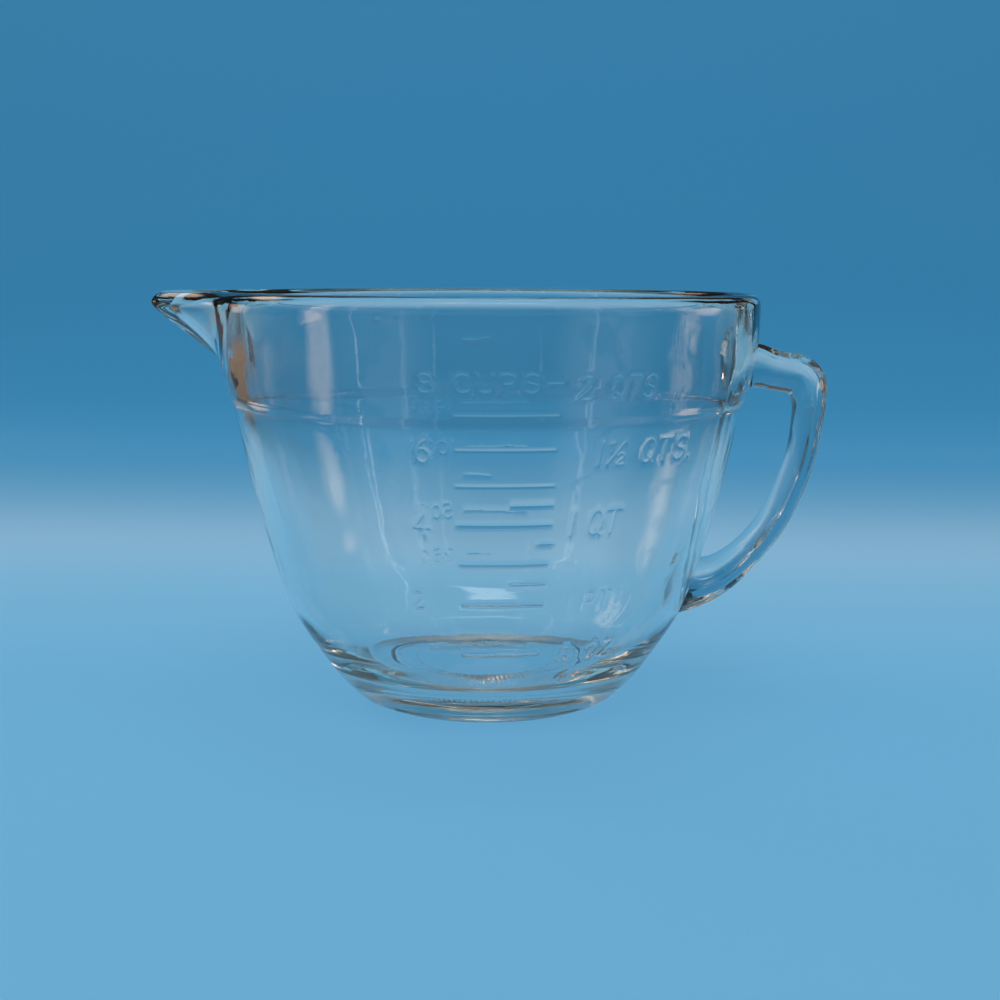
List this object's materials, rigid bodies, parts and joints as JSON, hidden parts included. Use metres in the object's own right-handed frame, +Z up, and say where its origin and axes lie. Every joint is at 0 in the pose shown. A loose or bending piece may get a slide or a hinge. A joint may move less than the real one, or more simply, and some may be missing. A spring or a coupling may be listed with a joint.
{
  "type": "glass measuring and mixing bowl",
  "caption": "Clear pressed-glass measuring bowl with a V-shaped pour spout, a loop handle, a stepped collar, a thick foot and raised volume scales.",
  "frame": {"origin": "on the bowl's axis, in the plane that the foot rests on", "axes": "+Z up along the bowl's axis, -X towards the pour spout, +X towards the handle, -Y towards the cup scale"},
  "size_m": [0.2432, 0.1921, 0.1441],
  "materials": {
    "clear_glass": "fire-polished clear pressed glass",
    "stippled_glass": "clear pressed glass with a fine stipple"
  },
  "bodies": {
    "root": {"foot_ring": "clear_glass", "base_disc": "clear_glass", "stipple_ring": "stippled_glass", "lower_wall": "clear_glass", "upper_wall": "clear_glass", "collar_band": "clear_glass", "rim_bead": "clear_glass", "pour_spout": "clear_glass", "handle_upper_root": "clear_glass", "handle_grip": "clear_glass", "handle_lower_root": "clear_glass", "mark_1_cup": "clear_glass", "mark_2_cups": "clear_glass", "mark_2_half_cups": "clear_glass", "mark_3_cups": "clear_glass", "mark_3_half_cups": "clear_glass", "mark_4_cups": "clear_glass", "mark_4_half_cups": "clear_glass", "mark_5_cups": "clear_glass", "mark_6_cups": "clear_glass", "mark_7_cups": "clear_glass", "mark_8_cups": "clear_glass", "mark_250_ml": "clear_glass", "mark_500_ml": "clear_glass", "mark_750_ml": "clear_glass", "mark_1000_ml": "clear_glass", "mark_1250_ml": "clear_glass", "mark_1500_ml": "clear_glass", "mark_1750_ml": "clear_glass", "mark_2000_ml": "clear_glass"}
  },
  "joints": []
}
